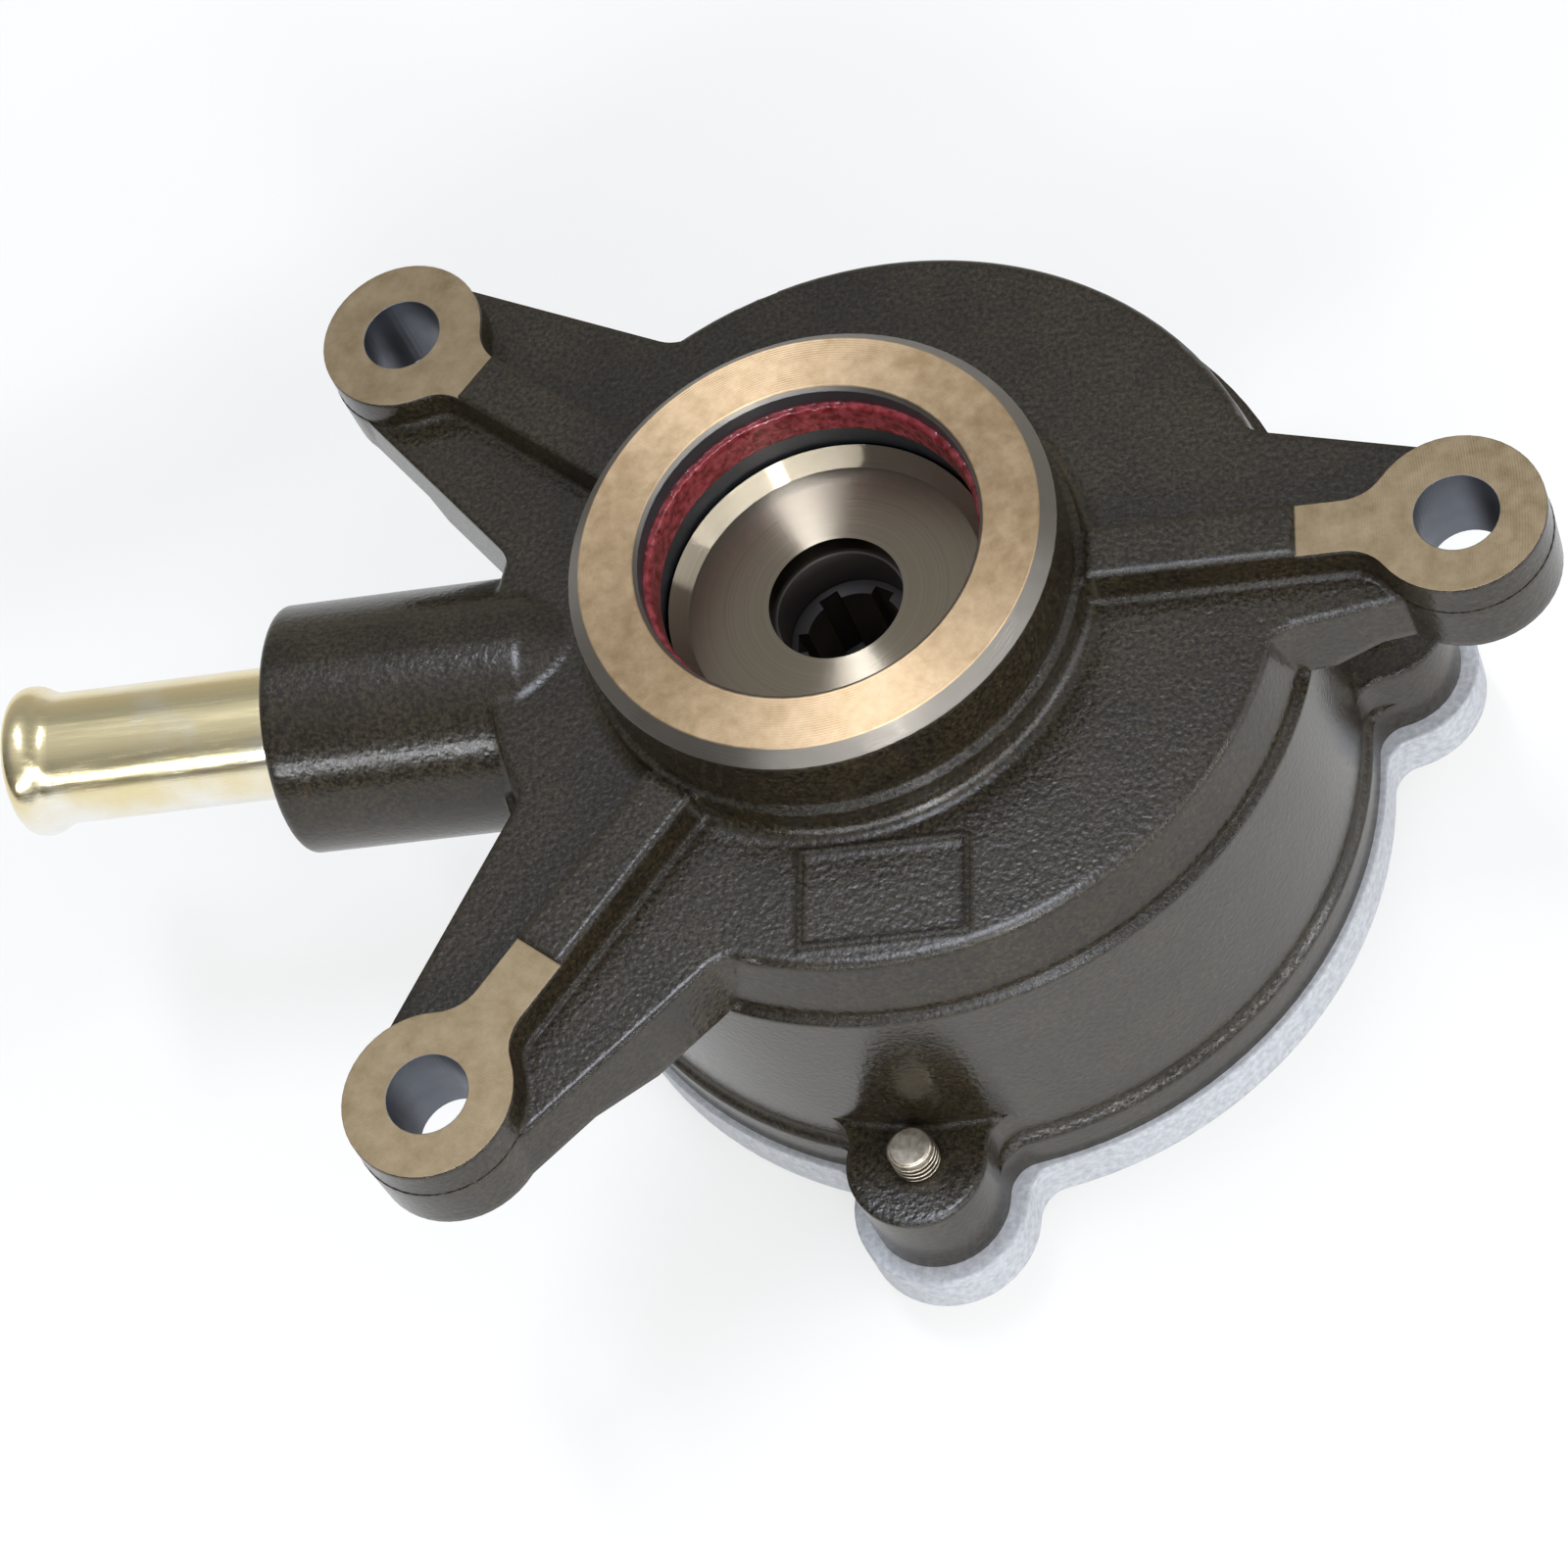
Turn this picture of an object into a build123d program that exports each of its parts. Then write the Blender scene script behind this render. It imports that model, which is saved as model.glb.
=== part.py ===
"""Brake vacuum pump: a four-vane exhauster that bolts to an engine by three ears.

Lengths are millimetres. The origin is on the rotor axis, in the plane of the machined ear pads.
+Z points out of the pilot spigot towards the engine, and -X runs along the inlet boss.
The pump stands on the boss of its end cover.
"""
import os
from math import atan2, cos, degrees, hypot, radians, sin, tan

from build123d import *

os.makedirs("parts", exist_ok=True)

# Chamber and rotor
chamber_r = 36.0
chamber_roof_z = -18.0
joint_z = -48.0
eccentricity = 3.9
rotor_gap = 0.15
end_gap = 0.1

# Housing casting
plateau_z = -4.0
plateau_wall = 5.6
plateau_round = 0.8
plateau_flare = 1.3
ledge_z = -12.5
ledge_width = 0.9
wall_draft_run = 0.4
rim_lip = 0.9
rim_height = 5.0
web_blend_r = 4.5
sink = 0.8

# Pilot spigot and its bore
spigot_r = 25.2
spigot_top_z = 9.0
spigot_chamfer = 1.5
spigot_fillet = 1.6
pilot_root_z = -0.4
cast_allowance = 0.8
pilot_relief = 0.6
spigot_bore_r = 17.64
bore_floor_z = -9.2
bore_mouth_chamfer = 0.5

# Mounting ears: hole centres, then the milled length of each rib from the hole
ear_centres = ((-47.95, 38.01), (63.47, -0.81), (-39.84, -52.51))
milled_lengths = (11.2, 16.0, 18.0)
ear_r = 8.86
ear_hole_r = 4.25
ear_height = 10.4
ear_foot_margin = 0.05
rib_width = 5.8
rib_blend_r = 5.0
rib_draft = 2.0
raw_rib_rise = 0.45

# Half widths of each arm, right then left of the line from the rotor axis to its hole
arm_root_reach = 12.0
arm_tip_widths = ((9.5, 8.8), (5.9, 9.6), (9.8, 8.5))
arm_root_widths = ((21.4, 18.1), (13.4, 22.7), (19.5, 19.5))
arm_draft = 3.0
arm_slope_start = 49.5
arm_half_space = 24.0

# Cover screws
lug_angles = (-94.6, 13.1, 139.7)
lug_reach = 2.9
lug_r = 7.5
lug_blend_r = 3.5
lug_height = 10.8
screw_r = 2.5
screw_gap = 0.05
screw_clearance = 0.25
screw_proud = 3.2
screw_head_af = 8.0
screw_head_height = 2.9
screw_flange_r = 5.2
screw_flange_height = 1.1

# Inlet boss, tube and gallery
boss_axis_z = -15.7
boss_r = 13.3
boss_end_x = -62.4
boss_round = 0.7
boss_root_x = -34.0
boss_fade_x = -26.0
tube_r = 7.1
tube_bore_r = 5.6
tube_reach = 31.8
tube_seat_depth = 11.4
bead_r = 7.9
bead_setback = 3.1
bead_length = 4.6
nose_r = 6.3
gallery_drill_r = 4.5
gallery_wall = 0.7
gallery_width = 6.0
gallery_height = 6.5
inlet_gallery_angles = (184.0, 250.0)
outlet_gallery_angles = (110.0, 172.0)
outlet_duct_r = 3.0

# Bare bordered pad on the front plate
plate_centre = (5.0, -33.6)
plate_length = 17.4
plate_width = 11.0
plate_border = 0.5
plate_rise = 0.4

# Rotor, vanes and bearings
shaft_r = 11.0
running_gap = 0.04
bush_wall = 2.5
rear_journal_r = 8.0
rear_journal_length = 7.2
rear_bush_length = 7.6
vane_count = 4
vane_thickness = 4.0
vane_height = 15.0
vane_gap = 0.1
vane_flush = 0.1
slot_spare = 1.3
pocket_r = 4.0
pocket_circle_r = 21.5
pocket_depth = 18.0
shaft_mouth_r = 6.8
shaft_mouth_depth = 5.4
drive_socket_r = 5.2
drive_socket_depth = 16.0
spline_count = 6
spline_width = 2.2
spline_depth = 0.9
oil_jet_r = 2.5
oil_jet_length = 6.0
oil_jet_bore_r = 0.9

# Drive hub
hub_gap = 0.44
hub_face_z = -2.7
hub_rim_z = -1.0
hub_bevel_width = 1.7
hub_hole_r = 7.06
hub_web = 2.6
hub_floor_gap = 0.5
thrust_washer_wall = 4.0
thrust_washer_height = 1.0

# Spigot seal
seal_low_z = 2.1
seal_height = 4.5
seal_depth = 1.7
seal_proud = 0.7

# End cover
cover_overhang = 0.7
cover_thickness = 6.8
cover_chamfer = 0.8
cover_lug_r = 9.4
cover_boss_r = 17.0
cover_boss_height = 5.2
cover_boss_draft = 2.0
cover_pocket_depth = 8.0
ring_inset = 3.6
groove_width = 2.8
groove_depth = 2.15

# Check valve in the inlet boss
seat_length = 2.5
seat_hole_r = 3.8
valve_gap = 0.05
pad_r = 5.0
pad_thickness = 1.0
disc_r = 5.6
disc_thickness = 1.2
stem_r = 1.2
stem_gap = 0.1
stem_engagement = 1.6
cage_length = 2.4
cage_rim = 1.2
cage_hub_r = 2.6
cage_spokes = 3
cage_spoke_width = 1.5
spring_mean_r = 3.6
spring_wire_r = 0.3
spring_turns = 4.0
spring_spare = 0.25
valve_travel = 2.0

# Worked out from the sizes above
chamber_centre = (eccentricity, 0.0)
plateau_r = chamber_r + plateau_wall
ledge_foot_r = plateau_r + plateau_flare
ledge_r = ledge_foot_r + ledge_width
wall_low_r = ledge_r - wall_draft_run
rim_r = wall_low_r + rim_lip
lug_circle_r = rim_r + lug_reach
cover_r = rim_r + cover_overhang
ring_r = chamber_r + ring_inset
gallery_drill_x = eccentricity - chamber_r - gallery_wall
rotor_r = chamber_r - eccentricity - rotor_gap
rotor_top_z = chamber_roof_z - end_gap
rotor_bottom_z = joint_z + end_gap
bush_r = shaft_r + bush_wall
rear_bush_r = rear_journal_r + bush_wall
hub_r = spigot_bore_r - hub_gap
hub_face_r = hub_r - hub_bevel_width
hub_back_z = bore_floor_z + thrust_washer_height + hub_floor_gap
shaft_end_z = hub_face_z - hub_web
cover_back_z = joint_z - cover_thickness
stand_z = cover_back_z - cover_boss_height
lug_top_z = joint_z + lug_height
rib_top_z = raw_rib_rise
spigot_foot_r = spigot_r + cast_allowance
rib_depth = rib_top_z - plateau_z + plateau_round
ear_foot_r = ear_r + rib_depth * tan(radians(rib_draft)) + ear_foot_margin
tube_tip_x = boss_end_x - tube_reach
tube_seat_x = boss_end_x + tube_seat_depth
bead_x = tube_tip_x + bead_setback
seat_face_x = tube_seat_x + seat_length
vane_tip_r = rotor_r - vane_flush
vane_root_r = vane_tip_r - vane_height
slot_root_r = vane_root_r - slot_spare
socket_floor_z = shaft_end_z - drive_socket_depth
seal_inner_r = spigot_bore_r - seal_proud
seal_outer_r = spigot_bore_r + seal_depth
disc_x = seat_face_x + valve_gap + pad_thickness
spring_solid_length = (spring_turns + 1) * 2 * spring_wire_r
cage_x = disc_x + disc_thickness + valve_travel + spring_solid_length + spring_spare
valve_stop_x = cage_x + cage_length
duct_outer_z = chamber_roof_z + gallery_height - outlet_duct_r
chamber_section = Plane.XZ.move(Location((eccentricity, 0, 0)))
chamber_axis = Axis((eccentricity, 0, 0), (0, 0, 1))
inlet_plane = Plane(origin=(boss_end_x, 0, boss_axis_z), x_dir=(0, 1, 0), z_dir=(1, 0, 0))
inlet_axis = Axis((0, 0, boss_axis_z), (1, 0, 0))


def on_chamber(angle, radius):
    """A plan point at an angle and a radius about the chamber's centre."""
    return (
        chamber_centre[0] + radius * cos(radians(angle)),
        chamber_centre[1] + radius * sin(radians(angle)),
    )


def bearing_of(centre):
    """The direction of a plan point from the rotor axis, in degrees."""
    return degrees(atan2(centre[1], centre[0]))


lug_points = [on_chamber(angle, lug_circle_r) for angle in lug_angles]


with BuildPart() as housing:
    # The chamber wall, its ledge and its rim are one turned form about the chamber's centre
    with BuildSketch(chamber_section):
        with BuildLine():
            Polyline(
                (0, joint_z),
                (rim_r, joint_z),
                (rim_r, joint_z + rim_height),
                (wall_low_r, joint_z + rim_height + rim_r - wall_low_r),
                (ledge_r, ledge_z),
                (ledge_foot_r, ledge_z),
                (plateau_r, plateau_z - plateau_round),
            )
            RadiusArc(
                (plateau_r, plateau_z - plateau_round),
                (plateau_r - plateau_round, plateau_z),
                -plateau_round,
            )
            Polyline((plateau_r - plateau_round, plateau_z), (0, plateau_z), (0, joint_z))
        make_face()
    revolve(axis=chamber_axis)

    # Three arms spread from the plateau to the ears
    with BuildSketch(Plane.XY.offset(plateau_z)):
        with Locations(chamber_centre):
            Circle(plateau_r - plateau_round)
        for centre, tip, root in zip(ear_centres, arm_tip_widths, arm_root_widths):
            with BuildSketch(Plane.XY, mode=Mode.PRIVATE) as arm:
                with BuildLine():
                    Polyline(
                        (arm_root_reach, -root[0]),
                        (hypot(*centre), -tip[0]),
                        (hypot(*centre), tip[1]),
                        (arm_root_reach, root[1]),
                        close=True,
                    )
                make_face()
            add(arm.sketch, rotation=bearing_of(centre))
        offset(amount=web_blend_r)
        offset(amount=-web_blend_r)
    extrude(amount=ledge_z - plateau_z, taper=-arm_draft)
    with BuildSketch(Plane.XY.offset(plateau_z)):
        with Locations(*ear_centres):
            Circle(ear_foot_r)
    extrude(amount=-ear_height - plateau_z)

    # The arms thin out towards the ears, so a slope is cut under each
    for centre in ear_centres:
        bearing = radians(bearing_of(centre))
        along = (cos(bearing), sin(bearing), 0)
        across = (sin(bearing), -cos(bearing), 0)
        reach = hypot(*centre)
        with BuildSketch(Plane(origin=(0, 0, 0), x_dir=along, z_dir=across)):
            Polygon(
                (arm_slope_start, ledge_z),
                (reach - ear_foot_r, -ear_height),
                (reach + 2 * ear_foot_r, -ear_height),
                (reach + 2 * ear_foot_r, ledge_z - sink),
                (arm_slope_start, ledge_z - sink),
                align=None,
            )
        extrude(amount=arm_half_space, both=True, mode=Mode.SUBTRACT)

    # Each ear is a round pad whose drafted rib runs to the spigot
    for centre in ear_centres:
        with BuildSketch(Plane.XY.offset(rib_top_z)):
            with Locations(centre):
                Circle(ear_r)
            with Locations(Location(centre, bearing_of(centre))):
                with Locations(((arm_root_reach - hypot(*centre)) / 2, 0)):
                    Rectangle(hypot(*centre) - arm_root_reach, rib_width)
            offset(amount=rib_blend_r)
            offset(amount=-rib_blend_r)
        extrude(amount=-rib_depth, taper=-rib_draft)

    # The tool that turns the pilot runs a little into the ribs round it
    with BuildSketch(Plane.XY.offset(pilot_root_z)):
        Circle(spigot_foot_r + pilot_relief)
    extrude(amount=rib_top_z - pilot_root_z, mode=Mode.SUBTRACT)

    # Pilot spigot, turned with its lead chamfer above a foot left as cast
    with BuildSketch(Plane.XZ):
        with BuildLine():
            Polyline(
                (0, plateau_z - sink),
                (spigot_foot_r + spigot_fillet, plateau_z - sink),
                (spigot_foot_r + spigot_fillet, plateau_z),
            )
            RadiusArc(
                (spigot_foot_r + spigot_fillet, plateau_z),
                (spigot_foot_r, plateau_z + spigot_fillet),
                spigot_fillet,
            )
            Polyline(
                (spigot_foot_r, plateau_z + spigot_fillet),
                (spigot_foot_r, pilot_root_z),
                (spigot_r, pilot_root_z),
                (spigot_r, spigot_top_z - spigot_chamfer),
                (spigot_r - spigot_chamfer, spigot_top_z),
                (0, spigot_top_z),
                (0, plateau_z - sink),
            )
        make_face()
    revolve(axis=Axis.Z)

    # Inlet boss, which dies into the plateau at its inner end
    with BuildSketch(Plane.XZ):
        with BuildLine():
            Polyline(
                (boss_fade_x, boss_axis_z),
                (boss_fade_x, plateau_z - sink),
                (boss_root_x, boss_axis_z + boss_r),
                (boss_end_x + boss_round, boss_axis_z + boss_r),
            )
            RadiusArc(
                (boss_end_x + boss_round, boss_axis_z + boss_r),
                (boss_end_x, boss_axis_z + boss_r - boss_round),
                -boss_round,
            )
            Polyline(
                (boss_end_x, boss_axis_z + boss_r - boss_round),
                (boss_end_x, boss_axis_z),
                (boss_fade_x, boss_axis_z),
            )
        make_face()
    revolve(axis=inlet_axis)

    # Screw lugs grow out of the wall, and the rim swells round them
    for wall_r, height in ((wall_low_r, lug_height), (rim_r, rim_height)):
        with BuildSketch(Plane.XY.offset(joint_z)):
            with Locations(chamber_centre):
                Circle(wall_r)
            with Locations(*lug_points):
                Circle(lug_r)
            offset(amount=lug_blend_r)
            offset(amount=-lug_blend_r)
        extrude(amount=height)

    # The milled pads: the cutter takes the raw top off each ear and the outer part of its rib
    for centre, length in zip(ear_centres, milled_lengths):
        with BuildSketch(Plane.XY):
            with Locations(Location(centre, bearing_of(centre))):
                with Locations(((ear_r + 1 - length) / 2, 0)):
                    Rectangle(length + ear_r + 1, 2 * ear_r + 2)
        extrude(amount=rib_top_z + 1, mode=Mode.SUBTRACT)

    # Thin raised border of the bare pad on the front plate
    with BuildSketch(Plane.XY.offset(plateau_z - sink)):
        with Locations(plate_centre):
            Rectangle(plate_length, plate_width)
            Rectangle(
                plate_length - 2 * plate_border, plate_width - 2 * plate_border, mode=Mode.SUBTRACT
            )
    extrude(amount=plate_rise + sink)

    # Chamber, spigot bore and bush seat
    with BuildSketch(Plane.XY.offset(joint_z)):
        with Locations(chamber_centre):
            Circle(chamber_r)
    extrude(amount=chamber_roof_z - joint_z, mode=Mode.SUBTRACT)
    with BuildSketch(Plane.XY.offset(bore_floor_z)):
        Circle(spigot_bore_r)
    extrude(amount=spigot_top_z - bore_floor_z, mode=Mode.SUBTRACT)
    with BuildSketch(Plane.XY.offset(spigot_top_z)):
        Circle(spigot_bore_r + bore_mouth_chamfer)
    extrude(amount=-bore_mouth_chamfer, taper=45, mode=Mode.SUBTRACT)
    with BuildSketch(Plane.XY.offset(chamber_roof_z)):
        Circle(bush_r)
    extrude(amount=bore_floor_z - chamber_roof_z, mode=Mode.SUBTRACT)
    with BuildSketch(Plane.XY.offset(seal_low_z)):
        Circle(spigot_bore_r + seal_depth)
    extrude(amount=seal_height, mode=Mode.SUBTRACT)

    # Ear holes and blind screw holes
    with BuildSketch(Plane.XY.offset(-ear_height)):
        with Locations(*ear_centres):
            Circle(ear_hole_r)
    extrude(amount=ear_height + rib_top_z, mode=Mode.SUBTRACT)
    with BuildSketch(Plane.XY.offset(joint_z)):
        with Locations(*lug_points):
            Circle(screw_r + screw_gap)
    extrude(amount=lug_height, mode=Mode.SUBTRACT)

    # Inlet bore with the valve's stop, then the drilling that meets the inlet gallery
    with BuildSketch(inlet_plane):
        Circle(tube_r)
    extrude(amount=valve_stop_x - boss_end_x, mode=Mode.SUBTRACT)
    with BuildSketch(inlet_plane):
        Circle(gallery_drill_r)
    extrude(amount=gallery_drill_x - boss_end_x, mode=Mode.SUBTRACT)

    # Galleries in the chamber roof: air enters by one and leaves by the other to the spigot bore
    with BuildSketch(Plane.XY.offset(chamber_roof_z)):
        for start, end in (inlet_gallery_angles, outlet_gallery_angles):
            with Locations(chamber_centre):
                SlotArc(
                    CenterArc((0, 0), chamber_r, start, end - start), height=gallery_width
                )
    extrude(amount=gallery_height, mode=Mode.SUBTRACT)
    duct_start = Vector(*on_chamber(sum(outlet_gallery_angles) / 2, chamber_r), duct_outer_z)
    duct_end = Vector(duct_start.X, duct_start.Y, 0).normalized() * bush_r
    duct_end = Vector(duct_end.X, duct_end.Y, bore_floor_z + outlet_duct_r / 2)
    with BuildSketch(Plane(origin=duct_start, z_dir=duct_end - duct_start)):
        Circle(outlet_duct_r)
    extrude(amount=(duct_end - duct_start).length, mode=Mode.SUBTRACT)
housing.part.label = "housing"
export_step(housing.part, "parts/housing.step")


with BuildPart() as end_cover:
    with BuildSketch(Plane.XY.offset(joint_z)):
        with Locations(chamber_centre):
            Circle(cover_r)
        with Locations(*lug_points):
            Circle(cover_lug_r)
        offset(amount=lug_blend_r)
        offset(amount=-lug_blend_r)
    extrude(amount=-cover_thickness)
    chamfer(end_cover.faces().sort_by(Axis.Z)[0].edges(), cover_chamfer)
    with BuildSketch(Plane.XY.offset(cover_back_z)):
        Circle(cover_boss_r)
    extrude(amount=-cover_boss_height, taper=cover_boss_draft)
    with BuildSketch(Plane.XY.offset(joint_z)):
        Circle(rear_bush_r)
    extrude(amount=-cover_pocket_depth, mode=Mode.SUBTRACT)
    with BuildSketch(Plane.XY.offset(joint_z)):
        with Locations(chamber_centre):
            Circle(ring_r + groove_width / 2)
            Circle(ring_r - groove_width / 2, mode=Mode.SUBTRACT)
    extrude(amount=-groove_depth, mode=Mode.SUBTRACT)
    with BuildSketch(Plane.XY.offset(joint_z)):
        with Locations(*lug_points):
            Circle(screw_r + screw_clearance)
    extrude(amount=-cover_thickness, mode=Mode.SUBTRACT)
end_cover.part.label = "end_cover"
export_step(end_cover.part, "parts/end_cover.step")


with BuildPart() as cover_seal_ring:
    with BuildSketch(chamber_section):
        with Locations((ring_r, joint_z - groove_depth / 2)):
            Circle(groove_depth / 2)
    revolve(axis=chamber_axis)
cover_seal_ring.part.label = "cover_seal_ring"
export_step(cover_seal_ring.part, "parts/cover_seal_ring.step")


with BuildPart() as cover_screws:
    with BuildSketch(Plane.XY.offset(cover_back_z)):
        with Locations(*lug_points):
            Circle(screw_r)
    extrude(amount=lug_top_z + screw_proud - cover_back_z)
    chamfer(cover_screws.faces().sort_by(Axis.Z)[-len(lug_points) :].edges(), screw_r / 5)
    with BuildSketch(Plane.XY.offset(cover_back_z)):
        with Locations(*lug_points):
            Circle(screw_flange_r)
    extrude(amount=-screw_flange_height)
    with BuildSketch(Plane.XY.offset(cover_back_z - screw_flange_height)):
        with Locations(*lug_points):
            RegularPolygon(screw_head_af / 2, 6, major_radius=False)
    extrude(amount=-screw_head_height)
cover_screws.part.label = "cover_screws"
export_step(cover_screws.part, "parts/cover_screws.step")


with BuildPart() as spigot_seal:
    with BuildSketch(Plane.XZ):
        with Locations(((seal_inner_r + seal_outer_r) / 2, seal_low_z + seal_height / 2)):
            RectangleRounded(seal_outer_r - seal_inner_r, seal_height, seal_proud)
    revolve(axis=Axis.Z)
spigot_seal.part.label = "spigot_seal"
export_step(spigot_seal.part, "parts/spigot_seal.step")


with BuildPart() as shaft_bush:
    with BuildSketch(Plane.XY.offset(chamber_roof_z)):
        Circle(bush_r)
        Circle(shaft_r + running_gap, mode=Mode.SUBTRACT)
    extrude(amount=bore_floor_z - chamber_roof_z)
shaft_bush.part.label = "shaft_bush"
export_step(shaft_bush.part, "parts/shaft_bush.step")


with BuildPart() as rear_bush:
    with BuildSketch(Plane.XY.offset(joint_z)):
        Circle(rear_bush_r)
        Circle(rear_journal_r + running_gap, mode=Mode.SUBTRACT)
    extrude(amount=-rear_bush_length)
rear_bush.part.label = "rear_bush"
export_step(rear_bush.part, "parts/rear_bush.step")


with BuildPart() as rotor:
    with BuildSketch(Plane.XY.offset(rotor_bottom_z)):
        Circle(rotor_r)
    extrude(amount=rotor_top_z - rotor_bottom_z)
    with BuildSketch(Plane.XY.offset(rotor_top_z)):
        Circle(shaft_r)
    extrude(amount=shaft_end_z - rotor_top_z)
    with BuildSketch(Plane.XY.offset(rotor_bottom_z)):
        Circle(rear_journal_r)
    extrude(amount=-rear_journal_length)
    # Blade slots
    with BuildSketch(Plane.XY.offset(rotor_bottom_z)):
        with PolarLocations((slot_root_r + rotor_r + 1) / 2, vane_count):
            Rectangle(rotor_r + 1 - slot_root_r, vane_thickness + 2 * vane_gap)
    extrude(amount=rotor_top_z - rotor_bottom_z, mode=Mode.SUBTRACT)
    # Blind pockets lighten the rotor between the slots
    with BuildSketch(Plane.XY.offset(rotor_bottom_z)):
        with PolarLocations(pocket_circle_r, vane_count, start_angle=180 / vane_count):
            Circle(pocket_r)
    extrude(amount=pocket_depth, mode=Mode.SUBTRACT)
    # Splined drive socket below a plain mouth in the end of the shaft, with the oil drilling under it
    with BuildSketch(Plane.XY.offset(shaft_end_z)):
        Circle(shaft_mouth_r)
    extrude(amount=-shaft_mouth_depth, mode=Mode.SUBTRACT)
    with BuildSketch(Plane.XY.offset(shaft_end_z)):
        Circle(drive_socket_r)
        with PolarLocations(drive_socket_r, spline_count):
            Rectangle(2 * spline_depth, spline_width)
    extrude(amount=-drive_socket_depth, mode=Mode.SUBTRACT)
    with BuildSketch(Plane.XY.offset(socket_floor_z)):
        Circle(oil_jet_r)
    extrude(amount=-oil_jet_length, mode=Mode.SUBTRACT)
rotor.part.label = "rotor"
export_step(rotor.part, "parts/rotor.step")


with BuildPart() as oil_jet:
    with BuildSketch(Plane.XY.offset(socket_floor_z)):
        Circle(oil_jet_r)
        Circle(oil_jet_bore_r, mode=Mode.SUBTRACT)
    extrude(amount=-oil_jet_length)
oil_jet.part.label = "oil_jet"
export_step(oil_jet.part, "parts/oil_jet.step")


with BuildPart() as drive_hub:
    with BuildSketch(Plane.XZ):
        with BuildLine():
            Polyline(
                (hub_hole_r, shaft_end_z),
                (shaft_r, shaft_end_z),
                (shaft_r, hub_back_z),
                (hub_r, hub_back_z),
                (hub_r, hub_rim_z),
                (hub_face_r, hub_face_z),
                (hub_hole_r, hub_face_z),
                close=True,
            )
        make_face()
    revolve(axis=Axis.Z)
drive_hub.part.label = "drive_hub"
export_step(drive_hub.part, "parts/drive_hub.step")


with BuildPart() as thrust_washer:
    with BuildSketch(Plane.XY.offset(bore_floor_z)):
        Circle(shaft_r + thrust_washer_wall)
        Circle(shaft_r + 5 * running_gap, mode=Mode.SUBTRACT)
    extrude(amount=thrust_washer_height)
thrust_washer.part.label = "thrust_washer"
export_step(thrust_washer.part, "parts/thrust_washer.step")


# One blade stands on +X, and the others are turned copies of it
for number in range(vane_count):
    with BuildPart() as vane:
        with BuildSketch(Plane.XY.offset(rotor_bottom_z)):
            with BuildLine():
                half = vane_thickness / 2
                Polyline(
                    (vane_tip_r - half, half),
                    (vane_root_r, half),
                    (vane_root_r, -half),
                    (vane_tip_r - half, -half),
                )
                ThreePointArc((vane_tip_r - half, -half), (vane_tip_r, 0), (vane_tip_r - half, half))
            make_face()
        extrude(amount=rotor_top_z - rotor_bottom_z)
    turned = vane.part.rotate(Axis.Z, 360 * number / vane_count)
    turned.label = f"vane_{number + 1}"
    export_step(turned, f"parts/vane_{number + 1}.step")


with BuildPart() as inlet_tube:
    with BuildSketch(Plane.XZ):
        with BuildLine():
            Polyline(
                (tube_seat_x, boss_axis_z + tube_r),
                (tube_seat_x, boss_axis_z + tube_bore_r),
                (tube_tip_x, boss_axis_z + tube_bore_r),
                (tube_tip_x, boss_axis_z + nose_r),
            )
            Spline(
                (tube_tip_x, boss_axis_z + nose_r),
                (bead_x, boss_axis_z + bead_r),
                (bead_x + bead_length / 2, boss_axis_z + tube_r),
                tangents=((0, 1), (1, 0)),
            )
            Line(
                (bead_x + bead_length / 2, boss_axis_z + tube_r),
                (tube_seat_x, boss_axis_z + tube_r),
            )
        make_face()
    revolve(axis=inlet_axis)
inlet_tube.part.label = "inlet_tube"
export_step(inlet_tube.part, "parts/inlet_tube.step")


with BuildPart() as check_valve_seat:
    with BuildSketch(inlet_plane.offset(tube_seat_x - boss_end_x)):
        Circle(tube_r)
        Circle(seat_hole_r, mode=Mode.SUBTRACT)
    extrude(amount=seat_length)
check_valve_seat.part.label = "check_valve_seat"
export_step(check_valve_seat.part, "parts/check_valve_seat.step")


with BuildPart() as check_valve_pad:
    with BuildSketch(inlet_plane.offset(seat_face_x + valve_gap - boss_end_x)):
        Circle(pad_r)
    extrude(amount=pad_thickness)
check_valve_pad.part.label = "check_valve_pad"
export_step(check_valve_pad.part, "parts/check_valve_pad.step")


with BuildPart() as check_valve_disc:
    with BuildSketch(inlet_plane.offset(disc_x - boss_end_x)):
        Circle(disc_r)
    extrude(amount=disc_thickness)
    with BuildSketch(inlet_plane.offset(disc_x - boss_end_x)):
        Circle(stem_r)
    extrude(amount=cage_x - disc_x + stem_engagement)
check_valve_disc.part.label = "check_valve_disc"
export_step(check_valve_disc.part, "parts/check_valve_disc.step")


with BuildPart() as valve_cage:
    with BuildSketch(inlet_plane.offset(cage_x - boss_end_x)):
        Circle(tube_r)
        Circle(tube_r - cage_rim, mode=Mode.SUBTRACT)
        with PolarLocations((tube_r + cage_hub_r - cage_rim) / 2, cage_spokes):
            Rectangle(tube_r - cage_hub_r, cage_spoke_width)
        Circle(cage_hub_r)
        Circle(stem_r + stem_gap, mode=Mode.SUBTRACT)
    extrude(amount=cage_length)
valve_cage.part.label = "valve_cage"
export_step(valve_cage.part, "parts/valve_cage.step")


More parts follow.
